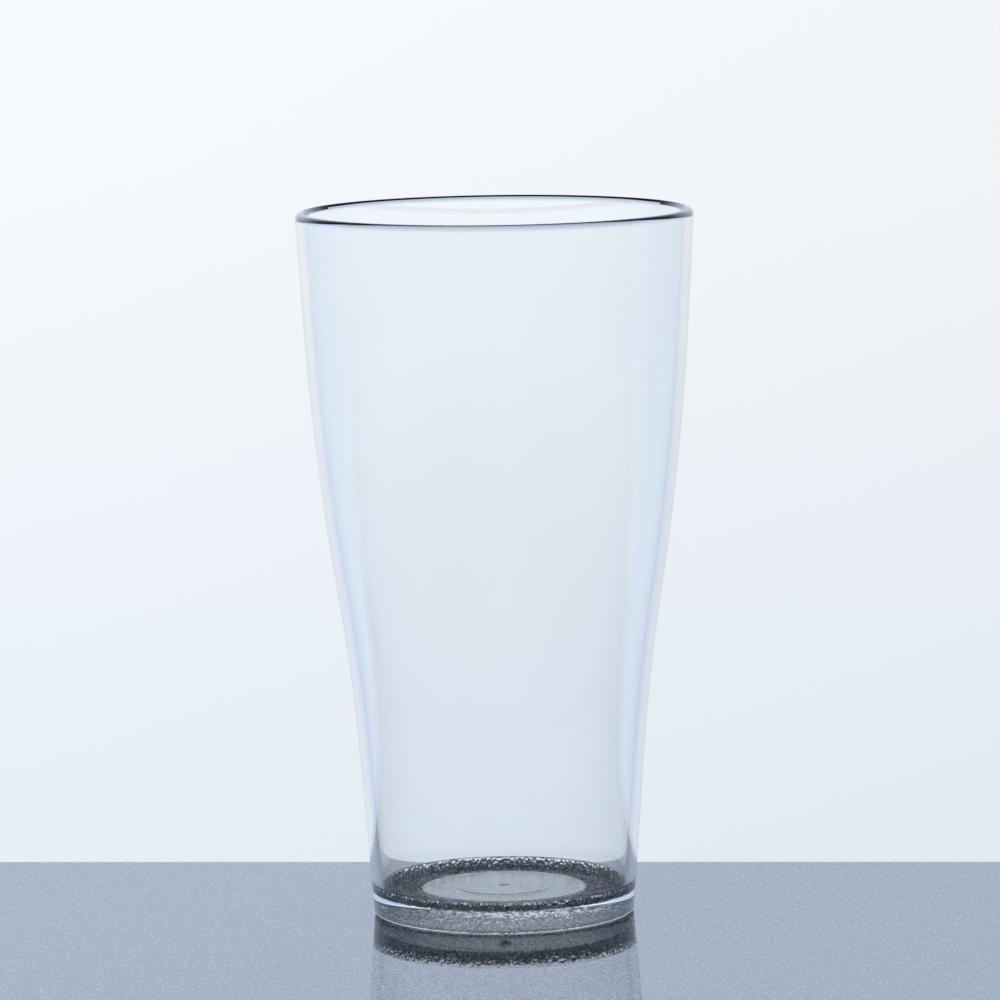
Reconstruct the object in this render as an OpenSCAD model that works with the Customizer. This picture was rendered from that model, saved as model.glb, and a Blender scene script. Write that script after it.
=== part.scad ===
// Clear plastic pint tumbler, moulded in one piece.
// It stands on z = 0 with its axis of revolution on Z, and every size is in millimetres.

/* [Outside] */
// Height from the table to the top of the lip
height = 156; // [150:0.5:165]
// Diameter across the outside of the lip
rim_d = 87.3; // [84:0.1:90]
// Diameter of the side carried down to the table, before the foot edge is rounded
foot_d = 57.6; // [56:0.2:60]
// Radius of the rounded edge around the foot
foot_edge_r = 1; // [0.5:0.1:1.2]

/* [Side curve] */
// Lean of the straight lower side, in degrees from upright
lower_lean = 4.3; // [3:0.1:5]
// Lean of the straight upper side, in degrees from upright
upper_lean = 3.3; // [2:0.1:4]
// Height at which the lower side starts to flare out
flare_start_z = 33; // [25:1:40]
// Height at which the side leans most and its curve turns over
turn_z = 74; // [65:1:82]
// Height at which the flare has straightened out again
flare_end_z = 131; // [120:1:138]

/* [Wall and lip] */
// Thickness of the wall, the same from the floor to the lip
wall = 2.3; // [2:0.1:2.6]
// Radius of the rounding on the outside of the lip
lip_r = 1.4; // [0.8:0.1:1.4]
// Width of the lip at its top, from the outside to the crisp inner edge
lip_w = 1.55; // [1.5:0.05:1.8]
// Height of the bevel from the crisp inner edge down to the inner side
lip_bevel_h = 0.9; // [0.5:0.1:1.5]

/* [Inner floor] */
// Height of the crisp edge where the channel around the floor meets the inner side
channel_top_z = 7.4; // [7:0.1:8.5]
// Height of the valley of the channel
valley_z = 5.6; // [5:0.1:5.7]
// Radius of the valley of the channel
valley_r = 24; // [21:0.1:24.5]
// Height of the plateau inside the channel
plateau_z = 5.95; // [5.8:0.05:6.6]
// Radius of the level part of the plateau, where its soft shoulder begins
plateau_r = 13; // [12:0.5:15]
// Diameter of the witness disc in the middle of the plateau
disc_d = 21.6; // [16:0.2:22.4]
// Height of the step up on to the witness disc
disc_step = 0.08; // [0.05:0.01:0.15]
// Diameter of the round dimple in the middle of the witness disc
dimple_d = 2.6; // [2:0.2:4]
// Depth of the dimple
dimple_depth = 0.6; // [0.2:0.05:0.9]

/* [Underside] */
// Height of the recess inside the foot ring
recess_h = 0.6; // [0.3:0.1:1]
// Width of the foot ring, from the side to the recess
foot_ring_w = 2.6; // [2.2:0.1:5]
// Width of the sloped step from the foot ring up to the recess
step_w = 0.6; // [0.3:0.1:1]
// Diameter of the gate mark left in the middle
gate_d = 2.6; // [1.6:0.2:4]
// Depth of the gate mark
gate_depth = 0.3; // [0.2:0.1:0.8]

/* [Hidden] */

// Facets around the axis, which stand for true circles
around = 180;
// Straight steps along each bend of the side, and along each small arc
side_steps = 16;
edge_steps = 10;

foot_r = foot_d / 2;
rim_r = rim_d / 2;
// Centre of the lip rounding, and the outer side carried up to the top of the lip
lip_centre = [rim_r - lip_r, height - lip_r];
top_r = lip_centre.x + lip_r / cos(upper_lean) + lip_r * tan(upper_lean);

// How far the side runs out from the table to the top of the lip when its greatest lean is a
function run_out(a) = flare_start_z * tan(lower_lean)
    + (turn_z - flare_start_z) * tan((lower_lean + a) / 2)
    + (flare_end_z - turn_z) * tan((a + upper_lean) / 2)
    + (height - flare_end_z) * tan(upper_lean);

// The greatest lean that joins the foot to the lip, found by halving the range between two angles
function greatest_lean(low, high, halvings) = let(mid = (low + high) / 2)
    halvings == 0 ? mid
    : run_out(mid) < top_r - foot_r ? greatest_lean(mid, high, halvings - 1)
    : greatest_lean(low, mid, halvings - 1);

turn_lean = greatest_lean(0, 45, 30);

// Radii of the two bends of the outer side: the flare turns out, then the upper bend turns back
flare_r = (turn_z - flare_start_z) / (sin(turn_lean) - sin(lower_lean));
upper_bend_r = (flare_end_z - turn_z) / (sin(turn_lean) - sin(upper_lean));

// Direction square to a side that leans by a, away from the axis
function outward(a) = [cos(a), -sin(a)];

// Centres of the two bends
flare_start = [foot_r + flare_start_z * tan(lower_lean), flare_start_z];
flare_centre = flare_start + flare_r * outward(lower_lean);
turn_point = flare_centre - flare_r * outward(turn_lean);
upper_bend_centre = turn_point - upper_bend_r * outward(turn_lean);

// The edge, valley and shoulder of the channel, and the point where the shoulder's slope turns over
channel_edge = [foot_r + channel_top_z * tan(lower_lean) - wall / cos(lower_lean), channel_top_z];
valley = [valley_r, valley_z];
shoulder = [plateau_r, plateau_z];
slope_middle = (valley + shoulder) / 2;

// Points of a circular arc from angle a0 to angle a1
function arc(centre, r, a0, a1, steps) = [
    for (i = [0:steps]) let(a = a0 + (a1 - a0) * i / steps) centre + r * [cos(a), sin(a)]
];

// Points up the two bends of the side, moved in from the outer side by inset
function bends(inset) = concat(
    [for (i = [0:side_steps])
        let(a = lower_lean + (turn_lean - lower_lean) * i / side_steps)
        flare_centre - (flare_r + inset) * outward(a)],
    [for (i = [1:side_steps])
        let(a = turn_lean + (upper_lean - turn_lean) * i / side_steps)
        upper_bend_centre + (upper_bend_r - inset) * outward(a)]
);

// The points of a list from last to first
function reversed(points) = [for (i = [len(points) - 1:-1:0]) points[i]];

// The underside, from the gate mark on the axis out to the flat of the foot ring
function underside() = let(recess_r = foot_r - foot_ring_w) [
    [0, recess_h + gate_depth],
    [gate_d / 2, recess_h],
    [recess_r - step_w, recess_h],
    [recess_r, 0]
];

// The outer side, from the rounded foot edge up to the end of the upper bend
function outer_side() = let(
    edge_x = foot_r + foot_edge_r * tan(lower_lean) - foot_edge_r / cos(lower_lean)
) concat(
    arc([edge_x, foot_edge_r], foot_edge_r, -90, -lower_lean, edge_steps),
    bends(0)
);

// The lip: rounded outside, flat for a hair's breadth, then bevelled from its crisp inner edge
function lip() = concat(
    arc(lip_centre, lip_r, -upper_lean, 90, edge_steps),
    [
        [rim_r - lip_w, height],
        [top_r - lip_bevel_h * tan(upper_lean) - wall / cos(upper_lean), height - lip_bevel_h]
    ]
);

// Points of the arc that is level at its foot and rises to its top, from the foot up
function rising_arc(foot, top) = let(
    run = top.x - foot.x,
    rise = top.y - foot.y,
    radius = (run * run + rise * rise) / (2 * rise),
    sweep = 2 * atan(rise / run)
) arc(foot + [0, radius], radius, -90, sweep - 90, edge_steps);

// The channel, from its crisp edge down to the valley, then up over the soft shoulder
function channel() = let(slope = rising_arc(valley, slope_middle)) concat(
    reversed(rising_arc(valley, channel_edge)),
    slope,
    [for (i = [edge_steps - 1:-1:0]) valley + shoulder - slope[i]]
);

// The plateau, from the step of its witness disc in to the middle of the dimple on the axis
function plateau() = let(disc_r = disc_d / 2, disc_z = plateau_z + disc_step) concat(
    [[disc_r, plateau_z], [disc_r - disc_step, disc_z]],
    reversed(rising_arc([0, disc_z - dimple_depth], [dimple_d / 2, disc_z]))
);

// The whole tumbler, one moulding of clear plastic
module tumbler() {
    color([0.86, 0.91, 0.97, 0.35])
        rotate_extrude($fn = around)
            polygon(concat(underside(), outer_side(), lip(), reversed(bends(wall)), channel(), plateau()));
}

tumbler();
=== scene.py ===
"""A clear plastic pint tumbler on a polished dark slab, in front of a pale studio backdrop."""

import math

import bpy
from mathutils import Matrix, Vector, noise


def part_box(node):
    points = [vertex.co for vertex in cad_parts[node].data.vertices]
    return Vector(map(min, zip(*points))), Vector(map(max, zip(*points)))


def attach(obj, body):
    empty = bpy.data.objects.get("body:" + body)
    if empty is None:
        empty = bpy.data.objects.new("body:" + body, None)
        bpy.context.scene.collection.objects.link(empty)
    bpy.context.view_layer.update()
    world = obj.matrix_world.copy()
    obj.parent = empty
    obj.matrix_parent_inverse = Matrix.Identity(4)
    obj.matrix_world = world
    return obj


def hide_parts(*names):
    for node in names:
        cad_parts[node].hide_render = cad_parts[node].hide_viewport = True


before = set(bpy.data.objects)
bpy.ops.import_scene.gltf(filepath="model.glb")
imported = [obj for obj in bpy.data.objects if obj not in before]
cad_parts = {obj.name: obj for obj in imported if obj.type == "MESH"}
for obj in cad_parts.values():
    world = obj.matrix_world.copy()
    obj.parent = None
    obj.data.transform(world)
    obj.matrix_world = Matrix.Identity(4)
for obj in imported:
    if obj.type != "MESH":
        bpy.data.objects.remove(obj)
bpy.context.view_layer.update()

MM = 0.001
FOOT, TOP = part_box("tumbler")

# The tumbler's outline, in millimetres and degrees
HEIGHT = (TOP.z - FOOT.z) / MM
RIM_R = min(TOP.x, -FOOT.x, TOP.y, -FOOT.y) / MM
FOOT_R = 28.8
FOOT_EDGE_R = 1.0
LOWER_LEAN = math.radians(4.3)
UPPER_LEAN = math.radians(3.3)
FLARE_START_Z = 33.0
TURN_Z = 74.0
FLARE_END_Z = 131.0
WALL = 2.3
LIP_R = 1.4
LIP_W = 1.55
LIP_BEVEL_H = 0.9
CHANNEL_TOP_Z = 7.4
VALLEY_Z = 5.6
VALLEY_R = 24.0
PLATEAU_R = 13.0
PLATEAU_Z = 5.95
DISC_R = 10.8
DISC_STEP = 0.08
DIMPLE_R = 1.3
DIMPLE_DEPTH = 0.6
RECESS_H = 0.6
FOOT_RING_W = 2.6
STEP_W = 0.6
GATE_R = 1.3
GATE_DEPTH = 0.3

# How finely the outline is turned into a mesh, in points around a ring, steps along an arc, and
# millimetres from a crisp edge or the end of a straight stretch to the ring that supports it
AROUND_SMOOTH = 256
AROUND_LEAST = 12
AROUND_MOST = 3 * AROUND_SMOOTH
BEND_STEPS = 12
EDGE_STEPS = 8
CREASE_GAP = 0.05
STRAIGHT_GAP = 5.0
LEAN_HALVINGS = 40

# The moulded stipple, in millimetres: how far apart its pits are, how far each one reaches as a
# share of that, and for each zone the pits' depth, the fine bump's height and the mesh's spacing
GRAIN = 0.48
PIT_REACH = 0.8
PIT_DEPTH = {"smooth": 0.0, "under": 0.3, "channel": 1.1, "shoulder": 0.02, "floor": 0.01}
BUMP = {"smooth": 0.0, "under": 0.2, "channel": 0.12, "shoulder": 0.08, "floor": 0.055}
SPACING = {"under": 0.34, "channel": 0.2, "shoulder": 0.4, "floor": 0.6}
BUMP_GRAIN = 0.3
DIMPLE_SPACING = 0.25

# The clear polycarbonate, in millimetres: slight waviness, faint scuffs, and stress colours that
# fade in between the heights of STRESS_FOOT and out between those of STRESS_TOP. Each NOISE is
# the range of the noise over which the effect sets in
PLASTIC_IOR = 1.585
CLEAR = (0.995, 0.998, 1.0, 1.0)
WAVE_SIZE = 9.0
WAVE_HEIGHT = 0.004
WAVE_STRETCH = (1.0, 1.0, 4.0)
SCUFF_SIZE = 6.0
SCUFF_NOISE = (0.55, 0.8)
SCUFF_ROUGHNESS = 0.02
STRESS_SIZE = 7.0
STRESS_NOISE = (0.4, 0.6)
STRESS_FOOT = (7.0, 11.0)
STRESS_TOP = (32.0, 16.0)
STRESS_PINK = (1.0, 0.975, 0.995, 1.0)
STRESS_GREEN = (0.975, 1.0, 0.992, 1.0)

# The slab, in millimetres and degrees: where it lies, its polish and its speckle
SLAB_FRONT = -3000.0
SLAB_BACK = 58.0
SLAB_HALF_WIDTH = 1500.0
SLAB_THICK = 20.0
SLAB_TURN = -4.48
SLAB_IOR = 1.55
SLAB_ROUGHNESS = 0.015
SLAB_DARK = (0.010, 0.014, 0.020, 1.0)
SLAB_PALE = (0.34, 0.39, 0.46, 1.0)
SPECKLE_SIZE = 0.7
SPECKLE_STRETCH = (1.0, 4.0, 1.0)
SPECKLE_NOISE = (0.54, 0.63)

# The light, by the direction that it comes from. BACKDROP, behind the tumbler, and ROOM, around
# the camera, are stops of (height, colour), with the height from -1 straight below to 1 straight
# above, and PEAK is the most that a colour may reach. The room gives way to the backdrop where
# the direction's Y runs from GLOW_EDGE to GLOW_FULL. The level changes from left to right where
# its X runs from -GLOW_SIDE to GLOW_SIDE
PEAK = 1.7
BACKDROP = [
    (-1.0, (0.50, 0.56, 0.65)),
    (-0.18, (0.79, 0.853, 0.93)),
    (-0.125, (0.862, 0.90, 0.955)),
    (-0.07, (0.915, 0.945, 0.975)),
    (0.0, (0.95, 0.98, 1.05)),
    (0.165, (1.00, 1.16, 1.44)),
    (0.21, (1.16, 1.36, 1.66)),
    (0.40, (0.95, 1.05, 1.20)),
    (0.70, (0.10, 0.11, 0.13)),
]
ROOM_LOW = (0.43, 0.58, 0.80)
ROOM_LEVEL = (0.74, 0.96, 1.22)
ROOM_HIGH = (0.10, 0.12, 0.15)
ROOM = [(-1.0, ROOM_LOW), (-0.03, ROOM_LOW), (0.03, ROOM_LEVEL), (0.20, ROOM_LEVEL), (0.40, ROOM_HIGH)]
GLOW_EDGE = 0.6
GLOW_FULL = 0.95
GLOW_SIDE = 0.1
LEFT_LEVEL = 1.01
RIGHT_LEVEL = 0.95

# The camera: where it stands in metres, how it is turned in degrees, and its lens in millimetres
CAMERA_BACK = 1.3218
CAMERA_HEIGHT = 0.2594
CAMERA_DOWN = 7.222
CAMERA_ROLL = -0.844
SENSOR = 36.0
LENS = 217.8
SHIFT = 0.0016
CLIP_START = 0.05
CLIP_END = 20.0


def outward(lean):
    """The direction square to a side that leans by this angle, as (r, z)."""
    return Vector((math.cos(lean), -math.sin(lean)))


def arc(centre, radius, start, end, steps):
    """Points of a circular arc between two angles."""
    angles = [start + (end - start) * i / steps for i in range(steps + 1)]
    return [centre + radius * Vector((math.cos(a), math.sin(a))) for a in angles]


def split_evenly(start, end, spacing):
    """Points after start up to and including end, no further apart than spacing."""
    steps = max(1, math.ceil((end - start).length / spacing))
    return [start.lerp(end, i / steps) for i in range(1, steps + 1)]


def near(point, towards):
    """A point a hair's breadth away, which keeps a crisp edge crisp on a smooth-shaded mesh."""
    return point + (towards - point).normalized() * CREASE_GAP


class Side:
    """The side of the tumbler: a straight foot, a flare and an upper bend, joined smoothly."""

    def __init__(self):
        self.lip_centre = Vector((RIM_R - LIP_R, HEIGHT - LIP_R))
        self.top_r = self.lip_centre.x + LIP_R / math.cos(UPPER_LEAN) + LIP_R * math.tan(UPPER_LEAN)
        self.turn = self.lean_at_turn(self.top_r - FOOT_R)
        self.flare_r = (TURN_Z - FLARE_START_Z) / (math.sin(self.turn) - math.sin(LOWER_LEAN))
        self.bend_r = (FLARE_END_Z - TURN_Z) / (math.sin(self.turn) - math.sin(UPPER_LEAN))
        start = Vector((FOOT_R + FLARE_START_Z * math.tan(LOWER_LEAN), FLARE_START_Z))
        self.flare_centre = start + self.flare_r * outward(LOWER_LEAN)
        turn_point = self.flare_centre - self.flare_r * outward(self.turn)
        self.bend_centre = turn_point - self.bend_r * outward(self.turn)
        self.channel_r = FOOT_R + CHANNEL_TOP_Z * math.tan(LOWER_LEAN) - WALL / math.cos(LOWER_LEAN)

    def run_out(self, lean):
        """How far the side runs out from the table to the lip when its greatest lean is this."""
        return (FLARE_START_Z * math.tan(LOWER_LEAN)
                + (TURN_Z - FLARE_START_Z) * math.tan((LOWER_LEAN + lean) / 2)
                + (FLARE_END_Z - TURN_Z) * math.tan((lean + UPPER_LEAN) / 2)
                + (HEIGHT - FLARE_END_Z) * math.tan(UPPER_LEAN))

    def lean_at_turn(self, wanted):
        """The lean at the turn that joins the foot to the lip, found by halving a range."""
        low, high = 0.0, math.pi / 4
        for _ in range(LEAN_HALVINGS):
            middle = (low + high) / 2
            low, high = (middle, high) if self.run_out(middle) < wanted else (low, middle)
        return (low + high) / 2

    def bends(self, inset):
        """Points up the two bends, moved in from the outer side by inset."""
        flare = [LOWER_LEAN + (self.turn - LOWER_LEAN) * i / BEND_STEPS for i in range(BEND_STEPS + 1)]
        bend = [self.turn + (UPPER_LEAN - self.turn) * i / BEND_STEPS for i in range(1, BEND_STEPS + 1)]
        return ([self.flare_centre - (self.flare_r + inset) * outward(a) for a in flare]
                + [self.bend_centre + (self.bend_r - inset) * outward(a) for a in bend])

    def foot_edge(self):
        """Points round the edge of the foot, from the flat of the foot ring up to the side."""
        edge_x = FOOT_R + FOOT_EDGE_R * math.tan(LOWER_LEAN) - FOOT_EDGE_R / math.cos(LOWER_LEAN)
        return arc(Vector((edge_x, FOOT_EDGE_R)), FOOT_EDGE_R, -math.pi / 2, -LOWER_LEAN, EDGE_STEPS)

    def lip(self):
        """Points over the lip, rounded outside and bevelled inside from a crisp edge."""
        rounding = arc(self.lip_centre, LIP_R, -UPPER_LEAN, math.pi / 2, EDGE_STEPS)
        crisp = Vector((RIM_R - LIP_W, HEIGHT))
        bevel_z = HEIGHT - LIP_BEVEL_H
        bevel_r = self.top_r - LIP_BEVEL_H * math.tan(UPPER_LEAN) - WALL / math.cos(UPPER_LEAN)
        bevel = Vector((bevel_r, bevel_z))
        down = -STRAIGHT_GAP * Vector((math.sin(UPPER_LEAN), math.cos(UPPER_LEAN)))
        before, inside = rounding[0] + down, bevel + down
        return [before, near(rounding[0], before), *rounding,
                near(crisp, rounding[-1]), crisp, near(crisp, bevel),
                near(bevel, crisp), bevel, near(bevel, inside), inside]


def underside():
    """The underside, from beside the gate mark out to the foot ring, with the zone of each point."""
    recess_r = FOOT_R - FOOT_RING_W
    points = [(Vector((GATE_R, RECESS_H)), "under")]
    step_top, step_foot = Vector((recess_r - STEP_W, RECESS_H)), Vector((recess_r, 0.0))
    ring = Vector((FOOT_R - FOOT_EDGE_R, 0.0))
    points += [(p, "under") for p in split_evenly(points[0][0], step_top, SPACING["under"])]
    points += [(near(step_top, step_foot), "under"), (near(step_foot, step_top), "under")]
    return points + [(step_foot, "smooth"), (near(step_foot, ring), "smooth")]


def rising_arc(valley, top, spacing):
    """Points of the arc that is level at the valley and ends at top, from top down to the valley."""
    run, rise = top.x - valley.x, top.y - valley.y
    radius = (run * run + rise * rise) / (2 * rise)
    sweep = 2 * math.atan(rise / run)
    steps = math.ceil(radius * abs(sweep) / spacing)
    return arc(valley + Vector((0.0, radius)), radius, sweep - math.pi / 2, -math.pi / 2, steps)


def inner_floor(side):
    """The inner floor, from its crisp edge on the inner side to beside the dimple on the axis."""
    valley, crown = Vector((VALLEY_R, VALLEY_Z)), Vector((PLATEAU_R, PLATEAU_Z))
    outer = rising_arc(valley, Vector((side.channel_r, CHANNEL_TOP_Z)), SPACING["channel"])
    inner = rising_arc(valley, (valley + crown) / 2, SPACING["channel"])[::-1]
    upper = rising_arc(valley, (valley + crown) / 2, SPACING["shoulder"])
    shoulder = [valley + crown - p for p in upper[1:]]
    step_foot = Vector((DISC_R, PLATEAU_Z))
    step_top = step_foot + Vector((-DISC_STEP, DISC_STEP))
    dimple = Vector((DIMPLE_R, step_top.y))
    disc_edge = near(step_top, dimple)
    plateau = split_evenly(crown, step_foot, SPACING["floor"]) + [step_top, disc_edge]
    plateau += split_evenly(disc_edge, near(dimple, disc_edge), SPACING["floor"])
    plateau += rising_arc(dimple - Vector((DIMPLE_R, DIMPLE_DEPTH)), dimple, DIMPLE_SPACING)[:-1]
    points = [(outer[0], "smooth"), (near(outer[0], outer[1]), "smooth"), (outer[1], "smooth")]
    points += [(p, "channel") for p in outer[2:] + inner[1:]] + [(p, "shoulder") for p in shoulder]
    return points + [(p, "floor") for p in plateau]


def outline(side):
    """The outline from beside the axis underneath, over the lip, to beside the axis inside."""
    foot_edge, bends = side.foot_edge(), side.bends(0.0)
    outside = foot_edge + [near(foot_edge[-1], bends[0])] + bends
    above_channel = [Vector((side.channel_r + d * math.tan(LOWER_LEAN), CHANNEL_TOP_Z + d))
                     for d in (STRAIGHT_GAP, CREASE_GAP)]
    smooth = outside + side.lip() + side.bends(WALL)[::-1] + above_channel
    return underside() + [(p, "smooth") for p in smooth] + inner_floor(side)


def pit(point, angle, zone):
    """How deep the stipple is at a place on the surface."""
    if PIT_DEPTH[zone] == 0.0:
        return 0.0
    place = Vector((point.x * math.cos(angle), point.x * math.sin(angle), point.y))
    nearest = noise.voronoi(place / GRAIN)[0][0]
    return PIT_DEPTH[zone] * max(0.0, 1.0 - nearest / PIT_REACH)


def ring_count(r, zone):
    """How many points a ring has: many where there is stipple, and fewer towards the axis."""
    if zone == "smooth":
        return AROUND_SMOOTH
    count = AROUND_LEAST
    while count < 2 * math.pi * r / SPACING[zone] and count < AROUND_MOST:
        count *= 2
    return count


def band(a, b):
    """Faces between two rings, (start, count) each. One count is a multiple of the other."""
    few, many = (a, b) if a[1] <= b[1] else (b, a)
    ratio = many[1] // few[1]
    if ratio == 1:
        n = a[1]
        return [(a[0] + i, a[0] + (i + 1) % n, b[0] + (i + 1) % n, b[0] + i) for i in range(n)]
    faces = []
    for i in range(few[1]):
        here, after = few[0] + i, few[0] + (i + 1) % few[1]
        for k in range(ratio):
            tip = here if k < ratio / 2 else after
            faces.append((many[0] + i * ratio + k, many[0] + (i * ratio + k + 1) % many[1], tip))
        faces.append((here, many[0] + i * ratio + math.ceil(ratio / 2), after))
    return faces if many is a else [face[::-1] for face in faces]


def lathe(name, points, middle_below, middle_above):
    """A closed mesh turned from an outline, with a point on the axis at each end of it."""
    vertices, rings, bumps = [], [], []
    for k, (point, zone) in enumerate(points):
        along = points[min(k + 1, len(points) - 1)][0] - points[max(k - 1, 0)][0]
        inward = Vector((-along.y, along.x)).normalized()
        count = ring_count(point.x, zone)
        rings.append((len(vertices), count))
        for i in range(count):
            angle = 2 * math.pi * i / count
            r, z = point + inward * pit(point, angle, zone)
            vertices.append((r * math.cos(angle) * MM, r * math.sin(angle) * MM, z * MM))
        bumps += [BUMP[zone]] * count
    below, above = len(vertices), len(vertices) + 1
    vertices += [(0.0, 0.0, middle_below * MM), (0.0, 0.0, middle_above * MM)]
    bumps += [0.0, 0.0]
    faces = [face for a, b in zip(rings, rings[1:]) for face in band(a, b)]
    first, last = rings[0], rings[-1]
    faces += [(below, first[0] + (i + 1) % first[1], first[0] + i) for i in range(first[1])]
    faces += [(above, last[0] + i, last[0] + (i + 1) % last[1]) for i in range(last[1])]
    mesh = bpy.data.meshes.new(name)
    mesh.from_pydata(vertices, [], faces)
    mesh.shade_smooth()
    mesh.attributes.new("stipple", "FLOAT", "POINT").data.foreach_set("value", bumps)
    thing = bpy.data.objects.new(name, mesh)
    bpy.context.scene.collection.objects.link(thing)
    return thing


def new_material(name):
    """A material with nodes, and its Principled shader."""
    material = bpy.data.materials.new(name)
    material.use_nodes = True
    return material, material.node_tree.nodes["Principled BSDF"]


def map_range(nodes, source, low, high, to_low=0.0, to_high=1.0):
    """A node that maps a range of a value, linearly and clamped, on to another range."""
    node = nodes.new("ShaderNodeMapRange")
    for name, value in zip(("From Min", "From Max", "To Min", "To Max"), (low, high, to_low, to_high)):
        node.inputs[name].default_value = value
    node.id_data.links.new(source, node.inputs["Value"])
    return node


def noise_node(nodes, size, stretch=(1.0, 1.0, 1.0), detail=0.0):
    """Noise in object space with grains of this size in millimetres, stretched along the axes."""
    place = nodes.new("ShaderNodeTexCoord")
    scaled = nodes.new("ShaderNodeMapping")
    scaled.inputs["Scale"].default_value = [1.0 / (size * MM * s) for s in stretch]
    grain = nodes.new("ShaderNodeTexNoise")
    grain.inputs["Scale"].default_value = 1.0
    grain.inputs["Detail"].default_value = detail
    link = nodes.id_data.links.new
    link(place.outputs["Object"], scaled.inputs["Vector"])
    link(scaled.outputs["Vector"], grain.inputs["Vector"])
    return grain.outputs[0]


def combine(nodes, operation, *values):
    """A Math node on sockets or numbers, and its result."""
    node = nodes.new("ShaderNodeMath")
    node.operation = operation
    for socket, value in zip(node.inputs, values):
        if isinstance(value, float):
            socket.default_value = value
        else:
            nodes.id_data.links.new(value, socket)
    return node.outputs[0]


def set_bump(nodes, shader, height):
    """Bump from a height in millimetres."""
    bump = nodes.new("ShaderNodeBump")
    bump.inputs["Strength"].default_value = 1.0
    bump.inputs["Distance"].default_value = MM
    nodes.id_data.links.new(height, bump.inputs["Height"])
    nodes.id_data.links.new(bump.outputs[0], shader.inputs["Normal"])


def mix_colours(nodes, factor, first, second):
    """A mix of two colours, each a socket or a fixed colour, and its result."""
    mix = nodes.new("ShaderNodeMix")
    mix.data_type = "RGBA"
    for name, value in (("Factor", factor), ("A", first), ("B", second)):
        if isinstance(value, tuple):
            mix.inputs[name].default_value = value
        else:
            nodes.id_data.links.new(value, mix.inputs[name])
    return mix.outputs["Result"]


def stress_colours(nodes):
    """Clear, with the faint pink and green that moulding stress leaves low in the wall."""
    place, parts = nodes.new("ShaderNodeTexCoord"), nodes.new("ShaderNodeSeparateXYZ")
    nodes.id_data.links.new(place.outputs["Object"], parts.inputs[0])
    height = combine(nodes, "DIVIDE", parts.outputs["Z"], MM)
    above_foot = map_range(nodes, height, *STRESS_FOOT).outputs["Result"]
    below_top = map_range(nodes, height, *STRESS_TOP).outputs["Result"]
    share = combine(nodes, "MULTIPLY", above_foot, below_top)
    blotches = map_range(nodes, noise_node(nodes, STRESS_SIZE, detail=1.0), *STRESS_NOISE)
    stress = mix_colours(nodes, blotches.outputs["Result"], STRESS_PINK, STRESS_GREEN)
    return mix_colours(nodes, share, CLEAR, stress)


def clear_plastic():
    """Clear polycarbonate with stipple grain, slight waviness, faint scuffs and stress colours."""
    material, shader = new_material("clear_plastic")
    shader.inputs["Transmission Weight"].default_value = 1.0
    shader.inputs["IOR"].default_value = PLASTIC_IOR
    nodes, links = material.node_tree.nodes, material.node_tree.links
    links.new(stress_colours(nodes), shader.inputs["Base Color"])
    amount = nodes.new("ShaderNodeAttribute")
    amount.attribute_name = "stipple"
    grain = combine(nodes, "MULTIPLY", noise_node(nodes, BUMP_GRAIN), amount.outputs["Fac"])
    wave = noise_node(nodes, WAVE_SIZE, stretch=WAVE_STRETCH)
    set_bump(nodes, shader, combine(nodes, "MULTIPLY_ADD", wave, WAVE_HEIGHT, grain))
    scuff = noise_node(nodes, SCUFF_SIZE, detail=3.0)
    scuffs = map_range(nodes, scuff, *SCUFF_NOISE, 0.0, SCUFF_ROUGHNESS)
    links.new(scuffs.outputs["Result"], shader.inputs["Roughness"])
    return material


def slab_material():
    """A polished dark stone slab with fine, slightly paler grains."""
    material, shader = new_material("slab")
    shader.inputs["Roughness"].default_value = SLAB_ROUGHNESS
    shader.inputs["IOR"].default_value = SLAB_IOR
    nodes, links = material.node_tree.nodes, material.node_tree.links
    grain = noise_node(nodes, SPECKLE_SIZE, SPECKLE_STRETCH, detail=2.0)
    speckle = map_range(nodes, grain, *SPECKLE_NOISE)
    colour = mix_colours(nodes, speckle.outputs["Result"], SLAB_DARK, SLAB_PALE)
    links.new(colour, shader.inputs["Base Color"])
    return material


def slab():
    """The slab that the tumbler stands on. Its back edge is close behind the tumbler."""
    left, right = -SLAB_HALF_WIDTH, SLAB_HALF_WIDTH
    corners = [(left, SLAB_FRONT), (right, SLAB_FRONT), (right, SLAB_BACK), (left, SLAB_BACK)]
    vertices = [(x * MM, y * MM, z * MM) for z in (-SLAB_THICK, 0.0) for x, y in corners]
    faces = [(3, 2, 1, 0), (4, 5, 6, 7), (0, 1, 5, 4), (1, 2, 6, 5), (2, 3, 7, 6), (3, 0, 4, 7)]
    mesh = bpy.data.meshes.new("slab")
    mesh.from_pydata(vertices, [], faces)
    thing = bpy.data.objects.new("slab", mesh)
    thing.rotation_euler.z = math.radians(SLAB_TURN)
    thing.location.z = FOOT.z
    bpy.context.scene.collection.objects.link(thing)
    mesh.materials.append(slab_material())


def colour_ramp(nodes, source, stops):
    """A ramp through (height, colour) stops, with each colour as a share of the peak light."""
    ramp = nodes.new("ShaderNodeValToRGB")
    elements = ramp.color_ramp.elements
    while len(elements) < len(stops):
        elements.new(0.5)
    for element, (height, colour) in zip(elements, stops):
        element.position = (height + 1) / 2
        element.color = (*[c / PEAK for c in colour], 1.0)
    nodes.id_data.links.new(source, ramp.inputs["Fac"])
    return ramp.outputs["Color"]


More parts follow.
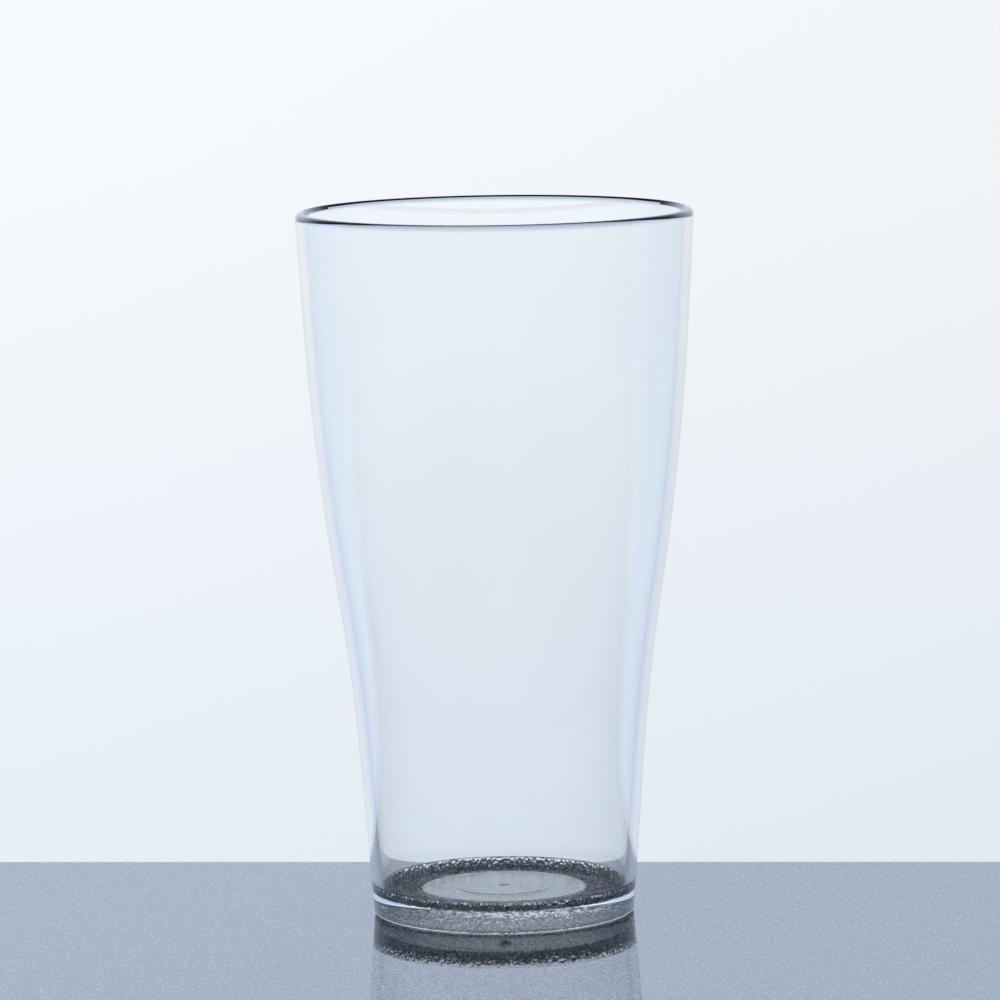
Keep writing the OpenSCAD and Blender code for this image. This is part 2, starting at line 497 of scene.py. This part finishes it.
def studio():
    """A pale backdrop behind the tumbler, and a dimmer blue room around the camera."""
    world = bpy.data.worlds.new("studio")
    bpy.context.scene.world = world
    world.use_nodes = True
    nodes, links = world.node_tree.nodes, world.node_tree.links
    place = nodes.new("ShaderNodeTexCoord")
    parts = nodes.new("ShaderNodeSeparateXYZ")
    links.new(place.outputs["Generated"], parts.inputs[0])
    height = map_range(nodes, parts.outputs["Z"], -1.0, 1.0)
    glow = map_range(nodes, parts.outputs["Y"], GLOW_EDGE, GLOW_FULL)
    glow.interpolation_type = "SMOOTHSTEP"
    levels = (PEAK * LEFT_LEVEL, PEAK * RIGHT_LEVEL)
    across = map_range(nodes, parts.outputs["X"], -GLOW_SIDE, GLOW_SIDE, *levels)
    room = colour_ramp(nodes, height.outputs["Result"], ROOM)
    backdrop = colour_ramp(nodes, height.outputs["Result"], BACKDROP)
    light = mix_colours(nodes, glow.outputs["Result"], room, backdrop)
    links.new(light, nodes["Background"].inputs["Color"])
    links.new(across.outputs["Result"], nodes["Background"].inputs["Strength"])


def camera():
    """The photograph's view: a long lens, a little above the lip and rolled by under a degree."""
    data = bpy.data.cameras.new("camera")
    data.sensor_width = SENSOR
    data.lens = LENS
    data.shift_x = SHIFT
    data.clip_start = CLIP_START
    data.clip_end = CLIP_END
    thing = bpy.data.objects.new("camera", data)
    place = Matrix.Translation((0.0, -CAMERA_BACK, FOOT.z + CAMERA_HEIGHT))
    look_down = Matrix.Rotation(math.radians(90 - CAMERA_DOWN), 4, "X")
    roll = Matrix.Rotation(math.radians(CAMERA_ROLL), 4, "Z")
    thing.matrix_world = place @ look_down @ roll
    bpy.context.scene.collection.objects.link(thing)
    bpy.context.scene.camera = thing


camera()
studio()
slab()
points = outline(Side())
tumbler = lathe("pint_tumbler", points, RECESS_H + GATE_DEPTH, PLATEAU_Z + DISC_STEP - DIMPLE_DEPTH)
tumbler.data.materials.append(clear_plastic())
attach(tumbler, "root")
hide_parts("tumbler")
bpy.context.scene.view_settings.view_transform = "Standard"
